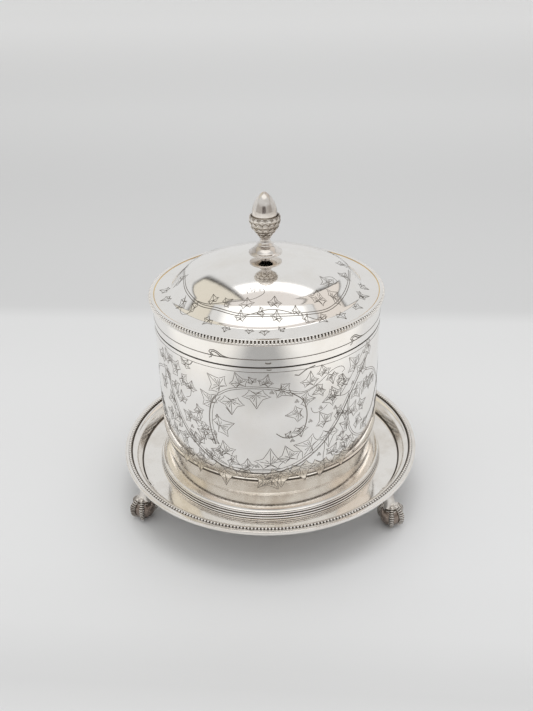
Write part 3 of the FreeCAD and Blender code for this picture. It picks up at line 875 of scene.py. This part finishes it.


# Front of the drum: distance round from the front, height, direction, size
DRUM_LEAVES = (
    (-28.5, 138.5, 137, 15.5), (-13.5, 142.5, 108, 12), (4.5, 143.5, 76, 10), (-4, 145, 120, 6),
    (-2, 135, 270, 15), (-20, 128, 268, 14.5), (15.5, 138.5, 320, 13), (36, 140.5, 91, 12),
    (47, 146, 100, 9), (53.5, 142, 282, 9.5), (45, 133.5, 205, 10), (64.5, 131, 95, 11),
    (57, 124, 108, 12), (55, 124, 190, 12), (32, 127.5, 355, 10.5), (28, 117, 187, 12.5),
    (28.5, 104, 282, 9), (20, 99, 60, 6), (48.5, 105, 118, 13.5), (-30, 105, 25, 15.5),
    (-36, 123.5, 135, 15), (-54, 129, 80, 9), (-51, 103, 60, 13), (-57, 103, 150, 10),
    (-26, 82.5, 105, 13), (-30, 81, 175, 11), (7, 75.5, 91, 17.5), (21, 80, 105, 14.5),
    (37, 87, 158, 17), (51.5, 94.5, 276, 16), (-10, 72.5, 93, 9.5), (-22, 77, 330, 9),
    (29, 70.5, 281, 18), (45, 70, 265, 17), (14, 67.5, 270, 18), (-28, 67.5, 264, 20),
    (-50, 68, 262, 16), (-12, 68.5, 266, 9), (3, 62, 235, 14), (6, 61, 302, 14), (54, 76, 60, 11),
    (78, 121, 304, 13), (76, 142, 131, 13.5), (84, 134, 60, 12), (68.5, 93.5, 150, 11),
    (74, 103, 55, 12), (80, 92, 335, 11), (71, 82, 250, 12), (66, 76, 200, 10), (84, 104, 20, 11),
    (62, 88, 300, 8), (-43, 93, 160, 10), (-37, 91, 60, 9), (-48, 85, 125, 11), (-54, 88, 200, 11),
    (-63, 82, 165, 12), (-60, 74, 250, 11), (-46, 73, 200, 10), (-38, 76, 150, 9),
    (-68, 139, 150, 13), (-62, 134, 330, 11), (-78, 143, 120, 12), (-82, 131, 230, 12),
    (-72, 126, 300, 10), (-64, 115, 100, 11), (-76, 110, 200, 12), (-88, 118, 150, 12),
    (-70, 98, 215, 12), (-80, 95, 170, 11), (-90, 140, 80, 11), (-75, 84, 200, 11),
    (-65, 67, 250, 14), (-47, 112, 110, 8), (88, 120, 330, 11), (90, 86, 300, 11),
    (59, 109, 340, 9), (68, 106, 260, 9), (-88, 80, 160, 11), (-40, 99, 190, 8), (62, 70, 280, 15),
    (78, 74, 270, 12), (94, 150, 200, 11), (-58, 147, 60, 8), (60, 137, 330, 7),
)
DRUM_STEMS = (
    ((-30, 131), (-22, 136.6), (-11, 139.6), (0, 140.2), (12, 139), (22, 135.6)),
    ((71, 121), (69.5, 110), (70, 98), (73, 88), (80, 80), (92, 75)),
)
DRUM_BROAD_STEMS = (
    ((-29, 131), (-34.5, 123), (-36.8, 112), (-36.4, 101), (-33, 88)),
    ((-82, 134), (-76, 117), (-68, 101), (-58, 88.5), (-45, 78.5), (-32, 72), (-16, 68.7),
     (0, 68.3), (12, 69.4), (24, 73.0), (35, 79), (46, 87.5), (56, 99), (64, 110), (71, 120.5),
     (79, 130.5), (92, 145)),
)
DRUM_TENDRILS = (
    ((21, 137.2), (30, 134.6), (38, 136.5), (45, 140.5), (52, 145.4), (58, 147), (63, 146),
     (65, 142.8), (62.6, 141.4)),
    ((21, 135.6), (28, 133.4), (35, 134.4), (41, 137.4)),
    ((37, 120), (38, 116.5), (41, 114.8), (46, 116), (50, 119)),
    ((-54, 133), (-53.5, 127), (-55, 122), (-59, 120)),
    ((-44, 79.5), (-36, 73.5), (-28.5, 69.8)),
    ((-43, 81.5), (-34, 76), (-26, 72.4)),
    ((-51, 112), (-49, 114.6), (-46, 113), (-44.6, 108), (-47, 104)),
    ((-36, 100), (-42, 98), (-46, 101), (-45, 104), (-42, 104)),
    ((-22, 70.4), (0, 70.8), (14, 71.6)),
    ((48, 88), (48, 82), (47, 74), (48.5, 64), (46, 57)),
    ((86, 150), (76, 139), (66, 128), (61, 122.6)),
    ((61, 122.6), (66, 121.6), (71, 123)),
)
DRUM_BOLD = (
    ((23, 134.5), (30, 129), (33.3, 121), (33.8, 112), (31.5, 103.5), (27, 99), (21, 97.6),
     (16, 98.6), (11.5, 102)),
    ((-62, 152.3), (-58, 149), (-54.5, 148.2), (-52, 149.6), (-50, 152.3)),
    ((25, 149), (28, 148.2), (30.5, 150), (34, 152.2), (40, 153.6)),
    ((-24, 121.8), (-20, 116.6)),
    ((5.8, 154.5), (7.5, 154.2), (9.2, 154.5)),
)
DRUM_BERRIES = (
    (26.5, 127.5), (36.5, 109), (43.5, 78), (23, 95), (-2.8, 73.6), (57, 114), (-34, 98),
    (44.5, 118), (-31.5, 113), (-55, 96), (-70, 118), (74, 128), (9, 136.5), (-70, 90),
)
SATIN_BELOW = 71.0
cuts, grounds = [], []
for x, y, turn, size in DRUM_LEAVES:
    lines, outline = leaf(x, y, turn, size)
    cuts += lines
    if y < SATIN_BELOW:
        grounds.append(outline)
for points in DRUM_STEMS:
    cuts += stem(points)
for points in DRUM_BROAD_STEMS:
    cuts += stem(points, 1.3) + [beside(smooth_line(points), -0.75)]
for points in DRUM_TENDRILS:
    cuts.append(smooth_line(points))
for points in DRUM_BOLD:
    cuts += strap(points)
for x, y in DRUM_BERRIES:
    cuts += berries(x, y)
# The same garland runs on round the back, in long waves
BACK_FROM = 90.0
BACK_HEIGHT = 108.0
half_way = math.pi * BODY_RADIUS
back_width = 2 * (half_way - BACK_FROM)
for swing in (-22, 24):
    cuts += stem([(BACK_FROM + k * back_width / 24, BACK_HEIGHT + swing * math.cos(math.pi * k / 4))
                  for k in range(25)])
for k in range(46):
    x = BACK_FROM + 6 + k * (back_width - 12) / 45
    y = BACK_HEIGHT + chance.choice((-1, 1)) * chance.uniform(4, 30)
    under_hinge = abs(x - half_way) < 20 and y > 132
    if under_hinge:
        continue
    cuts += leaf(x, y, chance.uniform(0, 360), chance.uniform(9, 13))[0]
cuts.append(ring_line(BODY_RADIUS, DRUM_LINE_HEIGHT))
engrave("drum_ivy", cuts, grounds, on_drum, "jar_on_stand")


def on_skirt(x, y, depth):
    return wrapped(BODY_RADIUS + CUT_LIFT + depth, x, y)


cuts = strap([tuple(p) for p in ring_line(BODY_RADIUS, SKIRT_LINE_HEIGHT)[::4]], (-0.14, 0.14))
for x in (-30.0, 75.0, 165.0, -150.0):
    for points in (
        ((10, 0), (5, 1.2), (1.5, 3.6), (-1, 4.4), (-4, 3.8), (-5, 2.6), (-3.5, 1.0), (-3, -1.2),
         (-5, -2.2)),
        ((8, 0), (4, 0.4), (1.0, 2.4), (-1, 3.2), (-3, 2.8), (-3.4, 1.6), (-1.6, 0.4)),
    ):
        cuts += strap([(x + a, SKIRT_LINE_HEIGHT + b) for a, b in points])
cuts += strap([(5.0, 160.0), (6.0, 159.3), (8.0, 159.3), (9.0, 160.0)], (-0.3, 0.0, 0.3))
engrave("skirt_line", cuts, [], on_skirt, "lid")


def on_dome(x, y, depth):
    return Vector((x, y, dome_height_at(math.hypot(x, y)) + CUT_LIFT + depth))


# Dome, seen in plan: to the right, to the back, direction, size
DOME_LEAVES = (
    (10, -59, 90, 9), (-33, -52, 95, 7), (-9, -60, 95, 8), (-13, -67, 80, 6), (25, -61, 100, 5),
    (12, -67, 85, 6), (31, -63, 60, 5), (40, -48, 100, 11), (47, -28, 140, 11), (50, -40, 60, 9),
    (-56, -40, 200, 8), (-47, -50, 120, 6), (-22, -72, 250, 6), (-6, -75, 265, 5), (4, -76, 280, 6),
    (15, -74, 40, 5), (-35, -63, 220, 7), (42, -58, 330, 7), (-74, -12, 160, 8), (-70, -26, 200, 8),
    (-62, -14, 100, 9), (-64, 6, 120, 9), (70, -20, 20, 9), (71, -4, 340, 8), (58, -12, 80, 9),
    (57, 8, 110, 9), (55, -50, 320, 8), (66, -36, 350, 7), (-24, -56, 20, 7), (2, -64, 200, 5),
    (-58, 24, 130, 9), (56, 28, 60, 9),
)
DOME_STEMS = (
    ((-64, 14), (-60, -12), (-55, -32), (-44, -49), (-30, -58), (-15, -64.5), (0, -66), (18, -64),
     (34, -58.5), (47, -50), (56, -36), (61, -18), (62, 4)),
)
DOME_TENDRILS = (
    ((-46, -46), (-36, -53), (-22, -56), (-8, -56), (-1, -53), (2.5, -49), (1.5, -45.5),
     (-1, -46), (-0.5, -48)),
    ((-9, -50), (-10, -46), (-7.5, -44.5), (-6.5, -48), (-4, -44.5), (-4.5, -49)),
    ((22, -62), (8, -62.5), (-4, -65), (-12, -66)),
    ((32, -61), (40, -60), (45, -57), (46, -55)),
    ((-55, -36), (-58, -46), (-55, -52), (-51, -51)),
    ((44, -22), (49, -19), (53, -23), (50, -28), (45, -27)),
)
BACK_STEM_RADIUS = 63.5
cuts = []
for x, y, turn, size in DOME_LEAVES:
    cuts += leaf(x, y, turn, size)[0]
for points in DOME_STEMS:
    cuts += stem(points, 0.6)
for points in DOME_TENDRILS:
    cuts.append(smooth_line(points))
for k in range(16):
    around = math.radians(35 + 110 * k / 15)
    reach = 66 + chance.uniform(-5, 5)
    x, y = reach * math.cos(around), reach * math.sin(around)
    cuts += leaf(x, y, chance.uniform(0, 360), chance.uniform(6, 9))[0]
back_stem = []
for degrees in range(8, 169, 8):
    around = math.radians(degrees)
    back_stem.append((BACK_STEM_RADIUS * math.cos(around), BACK_STEM_RADIUS * math.sin(around)))
cuts += stem(back_stem, 0.6)
engrave("dome_ivy", cuts, [], on_dome, "lid")

# ----------------------------------------
# Hinge: two short leaves of plate soldered outside the wall and the skirt, with
# three knuckles on one pin. The solids are right, so they only get their metal.
# ----------------------------------------
for node in ("hinge_body_leaf", "hinge_lid_leaf"):
    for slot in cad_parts[node].material_slots:
        slot.material = plate
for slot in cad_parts["hinge_pin"].material_slots:
    slot.material = nickel

# ----------------------------------------
# Studio: one sheet of pale paper with painted light and shade in greys that follow the photograph
# from front to back, a room of soft panels for the metal to mirror, one lamp above, and the camera.
# ----------------------------------------
bm = bmesh.new()
bmesh.ops.create_circle(bm, cap_ends=True, segments=64, radius=6.0)
table = piece("table", bm, [])
table_paper = bpy.data.materials.new("table paper")
table_paper.use_nodes = True
tree = table_paper.node_tree
shader = tree.nodes["Principled BSDF"]
shader.inputs["Roughness"].default_value = 0.55
shader.inputs["Specular IOR Level"].default_value = 0.2
where = add_node(tree, "ShaderNodeTexCoord", (-1300, 0))
away = add_node(tree, "ShaderNodeSeparateXYZ", (-1100, 0))
depth = add_node(tree, "ShaderNodeMapRange", (-900, 0), From_Min=-0.5, From_Max=3.5)
tones = add_node(tree, "ShaderNodeValToRGB", (-700, 0))
# Painted light and shade on the paper from front to back, a dark band in front for the metal to
# mirror, lighter round the jar where its shadow falls, darker behind and lighter far back: place
# along the run, then grey
stops = (
    (0.0, 0.42), (0.03, 0.44), (0.04, 0.47), (0.054, 0.64), (0.0625, 0.75), (0.07, 0.7),
    (0.085, 0.77), (0.1, 0.79), (0.15, 0.77), (0.1975, 0.745), (0.209, 0.65), (0.3125, 0.645),
    (0.5, 0.74), (0.9, 0.88),
)
ramp = tones.color_ramp
ramp.interpolation = "EASE"
while len(ramp.elements) < len(stops):
    ramp.elements.new(0.5)
for element, (position, grey) in zip(ramp.elements, stops):
    element.position, element.color = position, (grey * 0.975, grey * 0.99, grey * 1.01, 1)
to_side = add_node(tree, "ShaderNodeMath", (-900, -300))
to_side.operation = "ABSOLUTE"
widening = add_node(tree, "ShaderNodeMath", (-700, -300))
widening.operation = "MULTIPLY_ADD"
widening.inputs[1].default_value = -0.6
# Beside the jar's place, widening towards the front, the paper is painted light, a painted sheen
# for the drum's sides to mirror
painted_sheen_mask = add_node(tree, "ShaderNodeMapRange", (-500, -400), From_Min=0.31, From_Max=0.40)
lit = add_node(tree, "ShaderNodeMix", (-250, 0))
lit.data_type = "RGBA"
lit.inputs[7].default_value = (0.97, 0.97, 0.96, 1)
for start, end in (
    (where.outputs["Object"], away.inputs[0]),
    (away.outputs["Y"], depth.inputs["Value"]),
    (depth.outputs[0], tones.inputs["Fac"]),
    (away.outputs["X"], to_side.inputs[0]),
    (away.outputs["Y"], widening.inputs[0]),
    (to_side.outputs[0], widening.inputs[2]),
    (widening.outputs[0], painted_sheen_mask.inputs["Value"]),
    (painted_sheen_mask.outputs[0], lit.inputs["Factor"]),
    (tones.outputs["Color"], lit.inputs[6]),
    (lit.outputs[2], shader.inputs["Base Color"]),
):
    tree.links.new(start, end)
table.data.materials.append(table_paper)

world = bpy.data.worlds.new("studio")
bpy.context.scene.world = world
world.use_nodes = True
tree = world.node_tree
background = tree.nodes["Background"]
way = add_node(tree, "ShaderNodeTexCoord", (-1600, 0))
parts = add_node(tree, "ShaderNodeSeparateXYZ", (-1400, 0))
tree.links.new(way.outputs["Generated"], parts.inputs[0])


def maths(operation, first, second=None, place=(0, 0)):
    """The output of a math node fed with numbers or other nodes' outputs."""
    node = add_node(tree, "ShaderNodeMath", place)
    node.operation = operation
    for index, value in enumerate((first, second)):
        if isinstance(value, (int, float)):
            node.inputs[index].default_value = value
        elif value is not None:
            tree.links.new(value, node.inputs[index])
    return node.outputs[0]


height = maths("ARCSINE", parts.outputs["Z"], None, (-1200, 100))
behind = maths("ARCTAN2", parts.outputs["X"], parts.outputs["Y"], (-1000, -100))
aside = maths("ABSOLUTE", behind, None, (-800, -100))


def card(azimuth, half_width, elevation, half_height, soft, around=behind):
    """A soft-edged panel in the room, by its angles in degrees from straight behind the jar."""
    sides = []
    for source, middle, half in ((around, azimuth, half_width), (height, elevation, half_height)):
        apart = maths("ABSOLUTE", maths("SUBTRACT", source, math.radians(middle)))
        edge = add_node(
            tree, "ShaderNodeMapRange", (0, 0), From_Min=math.radians(half - soft),
            From_Max=math.radians(half + soft), To_Min=1.0, To_Max=0.0,
        )
        edge.interpolation_type = "SMOOTHSTEP"
        tree.links.new(apart, edge.inputs["Value"])
        sides.append(edge.outputs[0])
    return maths("MULTIPLY", sides[0], sides[1])


def over(under_colour, mask, colour):
    """A colour laid over another where the mask is white."""
    mix = add_node(tree, "ShaderNodeMix", (0, 0))
    mix.data_type = "RGBA"
    mix.clamp_result = False
    tree.links.new(mask, mix.inputs["Factor"])
    if isinstance(under_colour, tuple):
        mix.inputs[6].default_value = under_colour
    else:
        tree.links.new(under_colour, mix.inputs[6])
    mix.inputs[7].default_value = colour
    return mix.outputs[2]


# Walls and ceiling, two dark frames with a warm panel in each, a bright strip behind,
# and on the camera's side the main light with a dark band under it
room = (0.74, 0.745, 0.745, 1)
room = over(room, card(180, 82, 0, 26, 8, aside), (0.47, 0.45, 0.43, 1))
room = over(room, card(0, 400, 90, 34, 4), (0.78, 0.745, 0.72, 1))
room = over(room, card(-60, 34, 47, 17, 2), (0.04, 0.035, 0.03, 1))
room = over(room, card(60, 34, 47, 17, 2), (0.04, 0.035, 0.03, 1))
room = over(room, card(-61, 32.5, 47, 15.5, 1), (0.76, 0.72, 0.63, 1))
room = over(room, card(61, 32.5, 47, 15.5, 1), (0.78, 0.73, 0.68, 1))
room = over(room, card(1, 25, 54, 4, 1.5), (1.6, 1.6, 1.6, 1))
room = over(room, card(180, 75, 71, 18, 5, aside), (1.25, 1.25, 1.23, 1))
room = over(room, card(180, 17, 12, 14, 4, aside), (0.16, 0.14, 0.135, 1))
tree.links.new(room, background.inputs["Color"])
background.inputs["Strength"].default_value = 1.0

top_light = bpy.data.lights.new("top light", "AREA")
top_light.shape = "RECTANGLE"
top_light.size, top_light.size_y = 1.4, 1.0
top_light.energy = 9.0
lamp = bpy.data.objects.new("top light", top_light)
lamp.location = (0.1, 0.1, 1.9)
lamp.visible_glossy = False
bpy.context.scene.collection.objects.link(lamp)
bpy.context.scene.view_settings.view_transform = "Standard"

# Camera of the photograph: above and in front, looking 29 degrees down
PHOTO_FOCAL = 815.0
PHOTO_HEIGHT = 711.0
CAMERA_PLACE = (0.046, -0.5615, 0.431)
CAMERA_PAN, CAMERA_DOWN, CAMERA_ROLL = 4.81, 29.06, -1.47
camera_data = bpy.data.cameras.new("camera")
camera_data.sensor_width = 36.0
camera_data.lens = PHOTO_FOCAL / PHOTO_HEIGHT * camera_data.sensor_width
camera = bpy.data.objects.new("camera", camera_data)
camera.matrix_world = (
    Matrix.Translation(CAMERA_PLACE)
    @ Matrix.Rotation(math.radians(CAMERA_PAN), 4, "Z")
    @ Matrix.Rotation(math.radians(90 - CAMERA_DOWN), 4, "X")
    @ Matrix.Rotation(math.radians(CAMERA_ROLL), 4, "Z")
)
bpy.context.scene.collection.objects.link(camera)
bpy.context.scene.camera = camera
